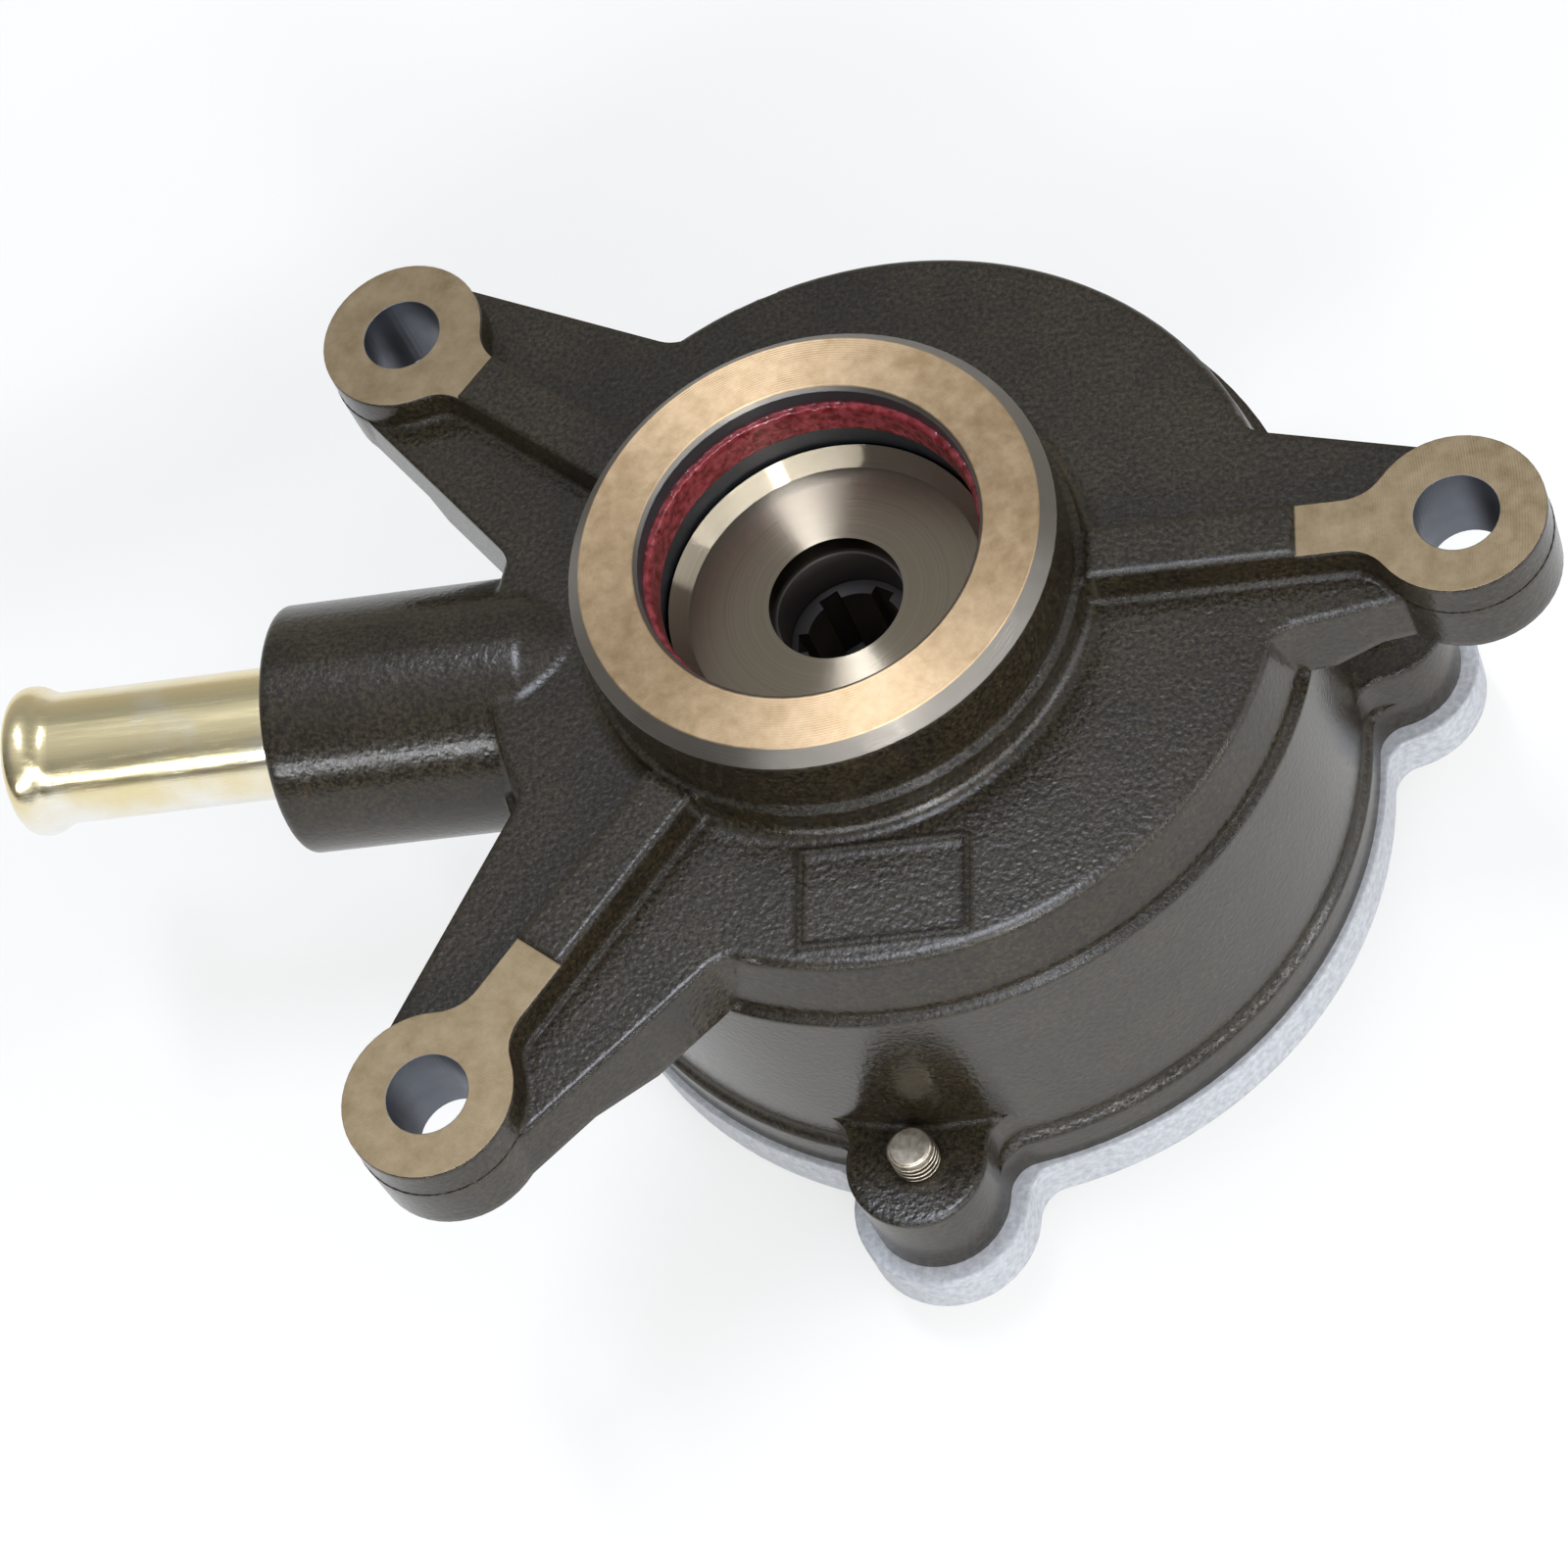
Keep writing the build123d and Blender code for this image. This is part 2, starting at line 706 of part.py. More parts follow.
with BuildPart() as check_valve_spring:
    spring_low_x = disc_x + disc_thickness + spring_wire_r
    spring_high_x = cage_x - spring_wire_r
    with BuildLine() as coil:
        Helix(
            pitch=(spring_high_x - spring_low_x) / spring_turns,
            height=spring_high_x - spring_low_x,
            radius=spring_mean_r,
            center=(spring_low_x, 0, boss_axis_z),
            direction=(1, 0, 0),
        )
    with BuildSketch(Plane(origin=coil.line @ 0, z_dir=coil.line % 0)):
        Circle(spring_wire_r)
    sweep(path=coil.line, is_frenet=True)
check_valve_spring.part.label = "check_valve_spring"
export_step(check_valve_spring.part, "parts/check_valve_spring.step")

print("overall height", spigot_top_z - stand_z, "rotor radius", rotor_r)
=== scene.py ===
# %% [markdown]
# # A brake vacuum pump, dressed for the camera
# The shapes come from the CAD frame, already in metres and in their places. Blender adds what the
# eye reads as material: sand-cast iron under black coating, faces bared by the mill and the lathe,
# yellow zinc on the hose tube, red silicone rubber, and bright turned steel.

# %% Load the frame
from math import cos, pi, radians, sin

import bpy
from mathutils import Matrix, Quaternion, Vector


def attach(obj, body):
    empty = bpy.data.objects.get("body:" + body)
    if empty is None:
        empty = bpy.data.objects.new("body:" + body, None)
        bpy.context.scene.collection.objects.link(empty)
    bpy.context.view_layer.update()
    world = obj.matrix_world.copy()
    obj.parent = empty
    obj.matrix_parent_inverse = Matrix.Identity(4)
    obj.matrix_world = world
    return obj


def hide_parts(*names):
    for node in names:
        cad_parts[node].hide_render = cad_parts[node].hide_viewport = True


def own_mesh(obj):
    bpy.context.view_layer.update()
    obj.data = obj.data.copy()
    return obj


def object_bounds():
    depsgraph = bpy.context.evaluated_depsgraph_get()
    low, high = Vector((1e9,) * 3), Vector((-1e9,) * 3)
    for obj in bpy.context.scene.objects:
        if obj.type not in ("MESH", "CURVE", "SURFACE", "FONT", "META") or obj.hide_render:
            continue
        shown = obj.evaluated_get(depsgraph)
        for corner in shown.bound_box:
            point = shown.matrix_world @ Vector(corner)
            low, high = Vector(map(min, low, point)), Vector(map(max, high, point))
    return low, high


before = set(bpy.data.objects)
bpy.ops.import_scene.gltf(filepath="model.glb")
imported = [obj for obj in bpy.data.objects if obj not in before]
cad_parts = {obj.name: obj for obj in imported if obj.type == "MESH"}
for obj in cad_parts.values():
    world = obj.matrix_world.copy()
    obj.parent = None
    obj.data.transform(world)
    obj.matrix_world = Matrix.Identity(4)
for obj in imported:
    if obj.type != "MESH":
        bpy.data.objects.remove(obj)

MM = 0.001
cad_low, cad_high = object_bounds()

# %% [markdown]
# ## Camera
# The product picture was taken from above and to the right, with a long lens, and the pump was
# turned in the frame. A place, a point to aim at and a roll about the line of sight say that
# better than three Euler angles would.

# %% Camera
eye = Vector((111.8, -253.9, 404.4)) * MM
aim = Vector((-4.25, -22.46, 0.0)) * MM
roll = radians(-29.50)
camera = bpy.data.objects.new("camera", bpy.data.cameras.new("camera"))
camera.data.sensor_width = 36.0
camera.data.lens = 111.45
camera.location = eye
camera.rotation_mode = "QUATERNION"
camera.rotation_quaternion = (aim - eye).to_track_quat("-Z", "Y") @ Quaternion((0, 0, 1), roll)
bpy.context.scene.collection.objects.link(camera)
bpy.context.scene.camera = camera
bpy.context.scene.view_settings.view_transform = "Standard"
print("camera", round((eye - aim).length / MM), "mm from the pump, lens", camera.data.lens)

# %% [markdown]
# ## Two small helpers
# Colours are picked as sRGB hex, as on a paint card, and the shader works in linear light, so one
# function converts them. The other adds a node: its settings by name, then a value or a link on
# each input.

# %% Helpers


def linear(colour):
    """An sRGB hex colour as the linear RGBA that a shader takes."""
    parts = [int(colour[k : k + 2], 16) / 255 for k in (1, 3, 5)]
    return [c / 12.92 if c <= 0.04045 else ((c + 0.055) / 1.055) ** 2.4 for c in parts] + [1.0]


def add(tree, kind, inputs=None, **settings):
    """Adds one shader node, sets its settings, then sets or links its inputs."""
    node = tree.nodes.new("ShaderNode" + kind)
    for name, value in settings.items():
        setattr(node, name, value)
    for name, value in (inputs or {}).items():
        if isinstance(value, bpy.types.NodeSocket):
            tree.links.new(value, node.inputs[name])
        else:
            node.inputs[name].default_value = value
    return node


def per_mm(size):
    """The texture scale, for coordinates in metres, that draws a feature this many mm wide."""
    return 1 / (size * MM)


def new_finish(name):
    """A new material with its shader tree, its Principled shader and the piece's own coordinates."""
    material = bpy.data.materials.new(name)
    material.use_nodes = True
    tree = material.node_tree
    shader = tree.nodes["Principled BSDF"]
    place = add(tree, "TexCoord").outputs["Object"]
    return material, tree, shader, place


def give(node, material):
    """Puts one material on a whole CAD node."""
    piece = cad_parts[node]
    if not piece.material_slots:
        piece.data.materials.append(material)
    for slot in piece.material_slots:
        slot.material = material


print("red rubber in linear light:", [round(c, 3) for c in linear("#8A1A22")[:3]])

# %% [markdown]
# ## Floor and background
# The catalogue picture is cut out on white. The floor here is a pale plane that still takes a
# soft shadow. To rays from the camera, and to those that metal reflects, it glows a little as well,
# so that it reads as white without any more light falling on the pump.

# %% Floor
floor_z = cad_low.z
floor_reach = 3.0
floor_mesh = bpy.data.meshes.new("floor")
floor_mesh.from_pydata(
    [(x * floor_reach, y * floor_reach, floor_z) for x, y in ((-1, -1), (1, -1), (1, 1), (-1, 1))],
    [],
    [(0, 1, 2, 3)],
)
floor = bpy.data.objects.new("floor", floor_mesh)
bpy.context.scene.collection.objects.link(floor)

material, tree, shader, place = new_finish("white_paper_floor")
tree.nodes.remove(shader)
ray = add(tree, "LightPath").outputs
seen = add(tree, "Math", {0: ray["Is Camera Ray"], 1: ray["Is Glossy Ray"]}, operation="MAXIMUM")
seen = add(tree, "Math", {0: seen.outputs[0], 1: ray["Is Transmission Ray"]}, operation="MAXIMUM")
paper = add(tree, "BsdfDiffuse", {"Color": linear("#E9E9E7")}).outputs[0]
glow = add(tree, "Emission", {"Color": linear("#FFFFFF"), "Strength": 1.0}).outputs[0]
share = add(tree, "Math", {0: seen.outputs[0], 1: 0.62}, operation="MULTIPLY").outputs[0]
mixed = add(tree, "MixShader", {0: share, 1: paper, 2: glow}).outputs[0]
tree.links.new(mixed, tree.nodes["Material Output"].inputs["Surface"])
floor_mesh.materials.append(material)
print("floor at", round(floor_z / MM, 1), "mm, under the boss of the end cover")

# %% [markdown]
# ## Light
# Thin bright lines run along the foot of each rib and along every front edge, while the flat faces
# stay dark, so a long low strip of light stood in front, and a small lamp with it that makes the
# spot on the hub's rim. The right flanks shine as well, so there was a window on that side. A soft
# box overhead makes the fans on the turned faces. The world is a plain studio: bright above, pale
# behind, and dim on the camera's side, which gives the round tube its brown band.

# %% Lights


def soft_light(name, azimuth, elevation, width, height, watts, colour):
    """A soft box at a compass angle and an elevation, aimed at the pump."""
    lamp = bpy.data.lights.new(name, "AREA")
    lamp.shape = "RECTANGLE"
    lamp.size = width
    lamp.size_y = height
    lamp.energy = watts
    lamp.color = linear(colour)[:3]
    away = Vector(
        (
            cos(radians(azimuth)) * cos(radians(elevation)),
            sin(radians(azimuth)) * cos(radians(elevation)),
            sin(radians(elevation)),
        )
    )
    stand = bpy.data.objects.new(name, lamp)
    stand.location = aim + away * lamp_distance
    stand.rotation_mode = "QUATERNION"
    stand.rotation_quaternion = (-away).to_track_quat("-Z", "Y")
    bpy.context.scene.collection.objects.link(stand)
    return stand


lamp_distance = 0.9
soft_light("front_strip", -63, 32, 2.3, 0.04, 13.0, "#F6FAFF")
soft_light("front_lamp", -68, 34, 0.12, 0.12, 1.6, "#FFFFFF")
soft_light("side_window", 4, 22, 0.5, 0.5, 1.6, "#F4F8FF")
soft_light("overhead_softbox", 119, 79, 0.12, 0.36, 3.4, "#E9F0FF")

world = bpy.data.worlds.new("studio")
world.use_nodes = True
bpy.context.scene.world = world
tree = world.node_tree
sky = add(tree, "TexCoord").outputs["Generated"]
towards = add(tree, "SeparateXYZ", {0: sky}).outputs
walls = []
for low, middle in (("#5E564C", "#9EA0A4"), ("#DAD2C4", "#B4B7BB")):
    wall = add(tree, "ValToRGB", {0: towards["Z"]})
    wall.color_ramp.elements[0].position = 0.02
    wall.color_ramp.elements[0].color = linear(low)
    wall.color_ramp.elements[1].position = 0.97
    wall.color_ramp.elements[1].color = linear("#F2F3F5")
    wall.color_ramp.elements.new(0.7).color = linear(middle)
    walls.append(wall.outputs[0])
behind = add(tree, "MapRange", {0: towards["Y"], 1: -0.1, 2: 0.4}).outputs[0]
room = add(tree, "Mix", {0: behind, 6: walls[0], 7: walls[1]}, data_type="RGBA").outputs[2]
ray = add(tree, "LightPath").outputs
backdrop = add(
    tree,
    "Mix",
    {0: ray["Is Camera Ray"], 6: room, 7: [1.25, 1.25, 1.25, 1.0]},
    data_type="RGBA",
)
tree.links.new(backdrop.outputs[2], tree.nodes["Background"].inputs["Color"])
tree.nodes["Background"].inputs["Strength"].default_value = 0.8

# %% [markdown]
# ## Black coated sand-cast iron, and where tools bared it
# The housing is one casting with several looks. Sand leaves grey iron grainy, and a thin
# brown-black coating keeps that grain, with small glints on its rounded edges. After coating, the
# ear pads and the end of the pilot were faced bright, and the pilot's bore and the ear holes were
# cut, so they are bare iron with fine tool marks. One shader holds them all and picks by place,
# because the tools cut by place too: each mask is a simple test of height or of distance from a hole.

# %% Where the tools have been
material, tree, shader, place = new_finish("black_coated_sand_cast_iron")
pilot_shoulder_z = 7.45 * MM
pilot_end_z = 8.9 * MM
pilot_bore_r = 17.66 * MM
bore_floor_z = -9.3 * MM
ear_hole_r = 4.3 * MM
ear_holes = ((-47.95, 38.01), (63.47, -0.81), (-39.84, -52.51))

spot = add(tree, "SeparateXYZ", {0: place}).outputs
facing = add(tree, "SeparateXYZ", {0: add(tree, "NewGeometry").outputs["Normal"]}).outputs
plan = add(tree, "CombineXYZ", {"X": spot["X"], "Y": spot["Y"]}).outputs[0]
radius = add(tree, "VectorMath", {0: plan}, operation="LENGTH").outputs["Value"]
level = add(tree, "Math", {0: spot["Z"], 1: 0.0, 2: 0.03 * MM}, operation="COMPARE").outputs[0]
upward = add(tree, "Math", {0: facing["Z"], 1: 0.95}, operation="GREATER_THAN").outputs[0]
pads = add(tree, "Math", {0: level, 1: upward}, operation="MULTIPLY").outputs[0]
above = add(tree, "Math", {0: spot["Z"], 1: pilot_shoulder_z}, operation="GREATER_THAN").outputs[0]
outside = add(tree, "Math", {0: radius, 1: pilot_bore_r}, operation="GREATER_THAN").outputs[0]
pilot = add(tree, "Math", {0: above, 1: outside}, operation="MULTIPLY").outputs[0]
end_face = add(tree, "Math", {0: spot["Z"], 1: pilot_end_z}, operation="GREATER_THAN").outputs[0]
inside = add(tree, "Math", {0: radius, 1: pilot_bore_r}, operation="LESS_THAN").outputs[0]
roomy = add(tree, "Math", {0: spot["Z"], 1: bore_floor_z}, operation="GREATER_THAN").outputs[0]
bored = add(tree, "Math", {0: inside, 1: roomy}, operation="MULTIPLY").outputs[0]
for x, y in ear_holes:
    near = add(tree, "VectorMath", {0: plan, 1: (x * MM, y * MM, 0)}, operation="DISTANCE")
    hole = add(tree, "Math", {0: near.outputs["Value"], 1: ear_hole_r}, operation="LESS_THAN")
    bored = add(tree, "Math", {0: bored, 1: hole.outputs[0]}, operation="MAXIMUM").outputs[0]
faced = add(tree, "Math", {0: pilot, 1: pads}, operation="MAXIMUM").outputs[0]
bared = add(tree, "Math", {0: faced, 1: bored}, operation="MAXIMUM").outputs[0]
print("masks: pads, pilot, end face and", len(ear_holes) + 1, "bores")

# %% [markdown]
# The coating is a black paint over sand grain. Noise at the size of the sand gives it both its small
# change of tone and its relief, and a slower noise makes it a little uneven, as sprayed paint is.
# The bare faces are warm grey iron with a yellow-brown film of preserving oil, thicker in patches.
# The bores are bare iron too, drawn in a dark cool grey that paints in the shade inside the holes.

# %% Housing colours
iron_grain = 0.5
paint_patch = 7.0
oil_patch = 2.5

grain = add(
    tree, "TexNoise", {"Vector": place, "Scale": per_mm(iron_grain), "Detail": 4.0, "Roughness": 0.72}
).outputs["Fac"]
lumps = add(
    tree, "TexNoise", {"Vector": place, "Scale": per_mm(paint_patch), "Detail": 2.0}
).outputs["Fac"]
coat = add(tree, "ValToRGB", {0: grain})
coat.color_ramp.elements[0].position = 0.38
coat.color_ramp.elements[0].color = linear("#13100B")
coat.color_ramp.elements[1].position = 0.66
coat.color_ramp.elements[1].color = linear("#372F20")
patchy = add(tree, "MapRange", {0: lumps, 1: 0.3, 2: 0.7, 3: 0.75, 4: 1.15}).outputs[0]
coat_colour = add(
    tree, "VectorMath", {0: coat.outputs[0], "Scale": patchy}, operation="SCALE"
).outputs[0]

smear = add(
    tree, "TexNoise", {"Vector": place, "Scale": per_mm(oil_patch), "Detail": 4.0, "Roughness": 0.7}
).outputs["Fac"]
oiled = add(tree, "ValToRGB", {0: smear})
oiled.color_ramp.elements[0].position = 0.3
oiled.color_ramp.elements[0].color = linear("#837256")
oiled.color_ramp.elements[1].position = 0.7
oiled.color_ramp.elements[1].color = linear("#9C8B70")
face = add(tree, "ValToRGB", {0: smear})
face.color_ramp.elements[0].position = 0.32
face.color_ramp.elements[0].color = linear("#AC926F")
face.color_ramp.elements[1].position = 0.68
face.color_ramp.elements[1].color = linear("#C8AE8C")
turned = add(
    tree, "Mix", {0: end_face, 6: linear("#7A756E"), 7: face.outputs[0]}, data_type="RGBA"
).outputs[2]
honed = add(tree, "Mix", {0: pads, 6: turned, 7: oiled.outputs[0]}, data_type="RGBA").outputs[2]
# Painted shade: the walls of the bores take a dark cool grey, darker than bare iron.
bare_colour = add(tree, "Mix", {0: bored, 6: honed, 7: linear("#666A72")}, data_type="RGBA").outputs[2]
colour = add(tree, "Mix", {0: bared, 6: coat_colour, 7: bare_colour}, data_type="RGBA").outputs[2]
tree.links.new(colour, shader.inputs["Base Color"])
tree.links.new(bared, shader.inputs["Metallic"])
print("sand grain", iron_grain, "mm, paint patches", paint_patch, "mm")

# %% [markdown]
# Gloss paint over grain glints on every rounded edge and stays dark on the flats. The Bevel node
# rounds the shading of the cast edges by about a millimetre, as the mould did, and that of cut edges
# by a tenth. Tools leave rings round the pilot's axis, and rings spread each highlight outwards from
# the axis, so the tangent points that way: this gives the two bright fans on the ring. The real
# feed is about 0.1 mm, and the rings are drawn at 0.28 mm so that they show.

# %% Housing gloss and relief
cast_edge = 1.1 * MM
cut_edge = 0.12 * MM
facing_feed = 0.28
sand_size = 0.6

gloss = add(tree, "MapRange", {0: grain, 1: 0.3, 2: 0.7, 3: 0.16, 4: 0.28}).outputs[0]
dull = add(tree, "MapRange", {0: smear, 1: 0.3, 2: 0.7, 3: 0.38, 4: 0.48}).outputs[0]
tree.links.new(add(tree, "Mix", {0: bared, 2: gloss, 3: dull}).outputs[0], shader.inputs["Roughness"])
spread = add(tree, "Math", {0: pilot, 1: 0.65}, operation="MULTIPLY").outputs[0]
tree.links.new(spread, shader.inputs["Anisotropic"])
outwards = add(tree, "VectorMath", {0: plan}, operation="NORMALIZE").outputs[0]
tree.links.new(outwards, shader.inputs["Tangent"])

rings = add(tree, "Math", {0: radius, 1: 2 * pi * per_mm(facing_feed)}, operation="MULTIPLY")
rings = add(tree, "Math", {0: rings.outputs[0]}, operation="SINE").outputs[0]
edge = add(tree, "Mix", {0: bared, 2: cast_edge, 3: cut_edge}).outputs[0]
rounded = add(tree, "Bevel", {"Radius": edge}, samples=6).outputs[0]
sand = add(
    tree, "TexNoise", {"Vector": place, "Scale": per_mm(sand_size), "Detail": 1.0}
).outputs["Fac"]
cast_relief = add(tree, "Math", {0: sand, 1: 0.038 * MM}, operation="MULTIPLY").outputs[0]
tool_relief = add(tree, "Math", {0: rings, 1: 0.004 * MM}, operation="MULTIPLY").outputs[0]
relief = add(tree, "Mix", {0: bared, 2: cast_relief, 3: tool_relief}).outputs[0]
bump = add(
    tree, "Bump", {"Height": relief, "Distance": 1.0, "Strength": 1.0, "Normal": rounded}
).outputs[0]
tree.links.new(bump, shader.inputs["Normal"])
give("housing", material)
print("housing:", material.name)

# %% [markdown]
# ## Turned steel
# A lathe leaves fine rings, and rings spread each highlight outwards from the axis into two fans.
# The shader's anisotropy does that when its tangent points away from the axis. These parts turn, so
# the tangent is carried from the piece's own space to the world's, and the fans stay where the lamps
# are. A shallow ring pattern, drawn coarser than the real feed of 0.1 mm so that it shows, breaks
# the fans into arcs.

# %% Hub and rotor finishes


def turned_steel(name, colour, feed, roughness, metallic=1.0, dark_z=None, light_z=None):
    """Bare steel turned about the rotor's axis, with rings one feed apart. Painted shade may darken it
    from light_z down to dark_z.
    """
    material, tree, shader, place = new_finish(name)
    plan = add(tree, "VectorMath", {0: place, 1: (1, 1, 0)}, operation="MULTIPLY").outputs[0]
    radius = add(tree, "VectorMath", {0: plan}, operation="LENGTH").outputs["Value"]
    along = add(tree, "CombineXYZ", {"X": radius}).outputs[0]
    rings = add(
        tree, "TexNoise", {"Vector": along, "Scale": per_mm(feed), "Detail": 3.0, "Roughness": 0.7}
    ).outputs["Fac"]
    tint = add(tree, "ValToRGB", {0: rings})
    tint.color_ramp.elements[0].position = 0.3
    tint.color_ramp.elements[0].color = [0.8 * c for c in linear(colour)[:3]] + [1]
    tint.color_ramp.elements[1].position = 0.7
    tint.color_ramp.elements[1].color = linear(colour)
    tint = tint.outputs[0]
    if dark_z is not None:
        # Painted shade: the colour darkens from light_z down to dark_z, deeper in the socket.
        z = add(tree, "SeparateXYZ", {0: place}).outputs["Z"]
        painted_depth_shade = add(tree, "MapRange", {0: z, 1: dark_z, 2: light_z, 3: 0.6, 4: 1.0}).outputs[0]
        tint = add(tree, "VectorMath", {0: tint, "Scale": painted_depth_shade}, operation="SCALE").outputs[0]
    tree.links.new(tint, shader.inputs["Base Color"])
    shader.inputs["Metallic"].default_value = metallic
    shader.inputs["Roughness"].default_value = roughness
    shader.inputs["Anisotropic"].default_value = 1.0
    outwards = add(
        tree, "VectorTransform", {0: plan}, vector_type="NORMAL", convert_from="OBJECT", convert_to="WORLD"
    ).outputs[0]
    tree.links.new(outwards, shader.inputs["Tangent"])
    height = add(tree, "Math", {0: rings, 1: 0.008 * MM}, operation="MULTIPLY").outputs[0]
    bump = add(tree, "Bump", {"Height": height, "Distance": 1.0, "Strength": 1.0}).outputs[0]
    tree.links.new(bump, shader.inputs["Normal"])
    return material


hub_steel = turned_steel("bright_turned_steel", "#948A79", 0.4, 0.22)
give("drive_hub", hub_steel)
socket_z, mouth_z = -10.65 * MM, -10.0 * MM
# The rotor's steel gets painted shade towards the bottom of its socket.
give("rotor", turned_steel("oiled_rotor_steel_with_painted_shade", "#5A5554", 0.6, 0.55, 0.2, socket_z, mouth_z))
print("drive_hub:", hub_steel.name)

# %% [markdown]
# ## Red silicone rubber
# The seal in the pilot's bore is soft and slightly tacky, so it shows small sharp glints on a
# deep red. Rubber isn't metal: a low noise in the normal and a medium gloss are enough.

# %% Rubbers


def moulded_rubber(name, dark, light, grain, depth, roughness):
    """Moulded rubber with a fine uneven skin."""
    material, tree, shader, place = new_finish(name)
    skin = add(
        tree, "TexNoise", {"Vector": place, "Scale": per_mm(grain), "Detail": 2.0}
    ).outputs["Fac"]
    tint = add(tree, "ValToRGB", {0: skin})
    tint.color_ramp.elements[0].position = 0.35
    tint.color_ramp.elements[0].color = linear(dark)
    tint.color_ramp.elements[1].position = 0.65
    tint.color_ramp.elements[1].color = linear(light)
    tree.links.new(tint.outputs[0], shader.inputs["Base Color"])
    shader.inputs["Roughness"].default_value = roughness
    shader.inputs["IOR"].default_value = 1.43
    height = add(tree, "Math", {0: skin, 1: depth * MM}, operation="MULTIPLY").outputs[0]
    bump = add(tree, "Bump", {"Height": height, "Distance": 1.0, "Strength": 1.0}).outputs[0]
    tree.links.new(bump, shader.inputs["Normal"])
    return material


give("spigot_seal", moulded_rubber("red_silicone_rubber", "#541416", "#803238", 0.9, 0.2, 0.12))
nitrile = moulded_rubber("black_nitrile_rubber", "#111111", "#1C1C1C", 0.5, 0.05, 0.5)
give("cover_seal_ring", nitrile)
give("check_valve_pad", nitrile)
print("seal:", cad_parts["spigot_seal"].material_slots[0].material.name)

# %% [markdown]
# ## Yellow passivated zinc on drawn steel
# The hose tube is plated bright zinc and dipped in a yellow chromate, which leaves a thin pale
# gold film that is never quite even. The gold is also made deeper towards the top of the tube and
# paler towards the bottom.
# Drawing left faint lines along it.

# %% Tube finish
material, tree, shader, place = new_finish("yellow_passivated_zinc")
tube_low_z, tube_high_z = -22.8 * MM, -8.6 * MM
drawn = add(tree, "VectorMath", {0: place, 1: (0.06, 1.0, 1.0)}, operation="MULTIPLY").outputs[0]
lines = add(
    tree, "TexNoise", {"Vector": drawn, "Scale": per_mm(0.5), "Detail": 3.0, "Roughness": 0.7}
).outputs["Fac"]
cloud = add(
    tree, "TexNoise", {"Vector": place, "Scale": per_mm(9.0), "Detail": 3.0}
).outputs["Fac"]
height = add(tree, "SeparateXYZ", {0: place}).outputs["Z"]
# The gold is deeper towards the top of the tube and paler towards the bottom.
upper = add(tree, "MapRange", {0: height, 1: tube_low_z, 2: tube_high_z, 3: -0.3, 4: 0.3})
goldness = add(tree, "Math", {0: cloud, 1: upper.outputs[0]}, operation="ADD").outputs[0]
film = add(tree, "ValToRGB", {0: goldness})
film.color_ramp.elements[0].position = 0.25
film.color_ramp.elements[0].color = linear("#F3F4F6")
film.color_ramp.elements[1].position = 0.75
film.color_ramp.elements[1].color = linear("#E8DAAE")
tree.links.new(film.outputs[0], shader.inputs["Base Color"])
shader.inputs["Metallic"].default_value = 1.0
tree.links.new(
    add(tree, "MapRange", {0: lines, 1: 0.3, 2: 0.7, 3: 0.16, 4: 0.3}).outputs[0],
    shader.inputs["Roughness"],
)
height = add(tree, "Math", {0: lines, 1: 0.012 * MM}, operation="MULTIPLY").outputs[0]
bump = add(tree, "Bump", {"Height": height, "Distance": 1.0, "Strength": 1.0}).outputs[0]
tree.links.new(bump, shader.inputs["Normal"])
give("inlet_tube", material)
print("inlet_tube:", material.name)

# %% [markdown]
# ## Cast aluminium cover
# The cover is a pale sand casting. Its skin is matt and finely pebbled, and lighter than the iron.

# %% Cover finish
material, tree, shader, place = new_finish("sand_cast_aluminium")
pebble = add(
    tree, "TexNoise", {"Vector": place, "Scale": per_mm(0.8), "Detail": 3.0, "Roughness": 0.6}
).outputs["Fac"]
skin = add(tree, "ValToRGB", {0: pebble})
skin.color_ramp.elements[0].position = 0.3
skin.color_ramp.elements[0].color = linear("#A4A6AA")
skin.color_ramp.elements[1].position = 0.7
skin.color_ramp.elements[1].color = linear("#C4C6CA")
tree.links.new(skin.outputs[0], shader.inputs["Base Color"])
shader.inputs["Metallic"].default_value = 0.3
shader.inputs["Roughness"].default_value = 0.6
height = add(tree, "Math", {0: pebble, 1: 0.08 * MM}, operation="MULTIPLY").outputs[0]
rounded = add(tree, "Bevel", {"Radius": 0.5 * MM}, samples=6).outputs[0]
bump = add(
    tree, "Bump", {"Height": height, "Distance": 1.0, "Strength": 1.0, "Normal": rounded}
).outputs[0]
tree.links.new(bump, shader.inputs["Normal"])
give("end_cover", material)
print("end_cover:", material.name)

# %% [markdown]
# ## Fasteners and inner parts
# The screws are rolled and zinc plated, and their threads show as fine rings on the tips that
# stand out of the lugs. The bushes are sintered bronze, the blades a carbon composite, and the
# check valve is turned brass and aluminium. They are seen through the hub, down the tube or with
# the pump opened, and each gets its own plain finish with a pattern of its real size.

# %% Small parts


def speckled(name, dark, light, grain, depth, metallic, roughness):
    """A finish with a random fine pattern: sintered, plated or pressed."""
    material, tree, shader, place = new_finish(name)
    fleck = add(
        tree, "TexNoise", {"Vector": place, "Scale": per_mm(grain), "Detail": 3.0}
    ).outputs["Fac"]
    tint = add(tree, "ValToRGB", {0: fleck})
    tint.color_ramp.elements[0].position = 0.35
    tint.color_ramp.elements[0].color = linear(dark)
    tint.color_ramp.elements[1].position = 0.65
    tint.color_ramp.elements[1].color = linear(light)
    tree.links.new(tint.outputs[0], shader.inputs["Base Color"])
    shader.inputs["Metallic"].default_value = metallic
    shader.inputs["Roughness"].default_value = roughness
    height = add(tree, "Math", {0: fleck, 1: depth * MM}, operation="MULTIPLY").outputs[0]
    bump = add(tree, "Bump", {"Height": height, "Distance": 1.0, "Strength": 1.0}).outputs[0]
    tree.links.new(bump, shader.inputs["Normal"])
    return material


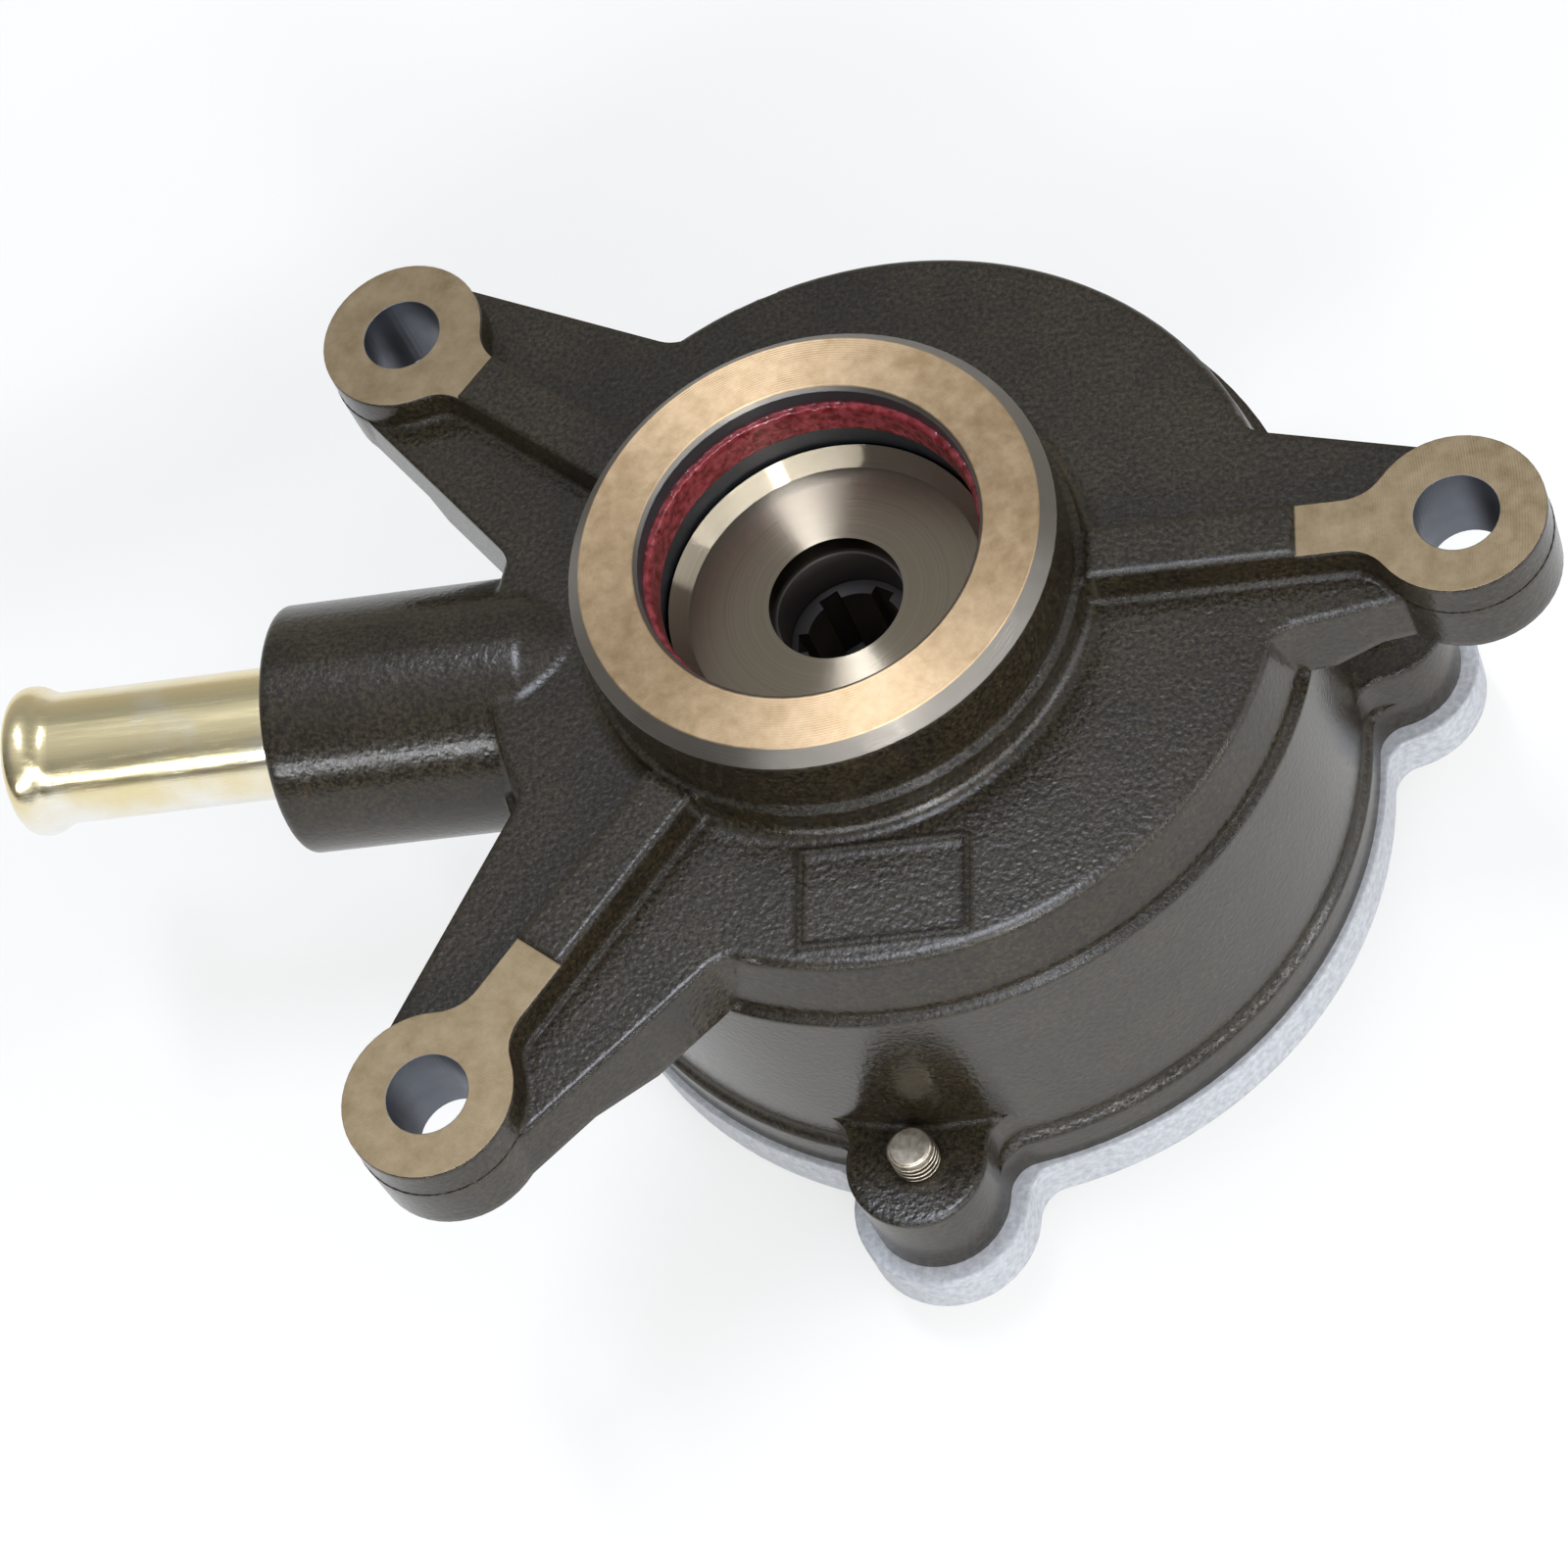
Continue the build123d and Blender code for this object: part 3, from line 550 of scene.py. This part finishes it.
bronze = speckled("sintered_bronze", "#8E6A42", "#B58B58", 0.25, 0.02, 1.0, 0.45)
for node in ("shaft_bush", "rear_bush", "thrust_washer"):
    give(node, bronze)
carbon = speckled("carbon_resin_composite", "#16140F", "#2C2822", 0.4, 0.01, 0.0, 0.5)
for number in range(1, 5):
    give(f"vane_{number}", carbon)
brass = speckled("turned_brass", "#B99A55", "#D6BA74", 0.3, 0.005, 1.0, 0.3)
give("oil_jet", brass)
give("check_valve_disc", brass)
valve_alloy = speckled("turned_aluminium", "#B8BABC", "#D4D6D8", 0.3, 0.005, 1.0, 0.35)
give("check_valve_seat", valve_alloy)
give("valve_cage", valve_alloy)
give("check_valve_spring", speckled("spring_wire", "#8C8C8C", "#B4B4B4", 0.2, 0.003, 1.0, 0.3))

# %% [markdown]
# ## A stand-in for the valve spring
# When the valve opens, its disc pushes the coil together against the cage. A rigid spring would be
# cut by the disc. Here a copy of the coil, with a mesh of its own, stands in for it on the pump body.

# %% Valve spring
coil = bpy.data.objects.new("valve_spring_coil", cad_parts["check_valve_spring"].data.copy())
bpy.context.scene.collection.objects.link(coil)
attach(coil, "pump_body")
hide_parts("check_valve_spring")
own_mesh(coil)

# %% Screw finish
material, tree, shader, place = new_finish("zinc_plated_screw_steel")
thread_pitch = 0.8
depth_z = add(tree, "SeparateXYZ", {0: place}).outputs["Z"]
turns = add(tree, "Math", {0: depth_z, 1: 2 * pi * per_mm(thread_pitch)}, operation="MULTIPLY")
thread = add(tree, "Math", {0: turns.outputs[0]}, operation="SINE").outputs[0]
dull = add(tree, "TexNoise", {"Vector": place, "Scale": per_mm(0.7), "Detail": 2.0}).outputs["Fac"]
plate = add(tree, "ValToRGB", {0: dull})
plate.color_ramp.elements[0].position = 0.3
plate.color_ramp.elements[0].color = linear("#A89C88")
plate.color_ramp.elements[1].position = 0.7
plate.color_ramp.elements[1].color = linear("#D8CFBE")
tree.links.new(plate.outputs[0], shader.inputs["Base Color"])
shader.inputs["Metallic"].default_value = 1.0
shader.inputs["Roughness"].default_value = 0.32
height = add(tree, "Math", {0: thread, 1: 0.12 * MM}, operation="MULTIPLY").outputs[0]
bump = add(tree, "Bump", {"Height": height, "Distance": 1.0, "Strength": 1.0}).outputs[0]
tree.links.new(bump, shader.inputs["Normal"])
give("cover_screws", material)
print("finishes:", len(bpy.data.materials))
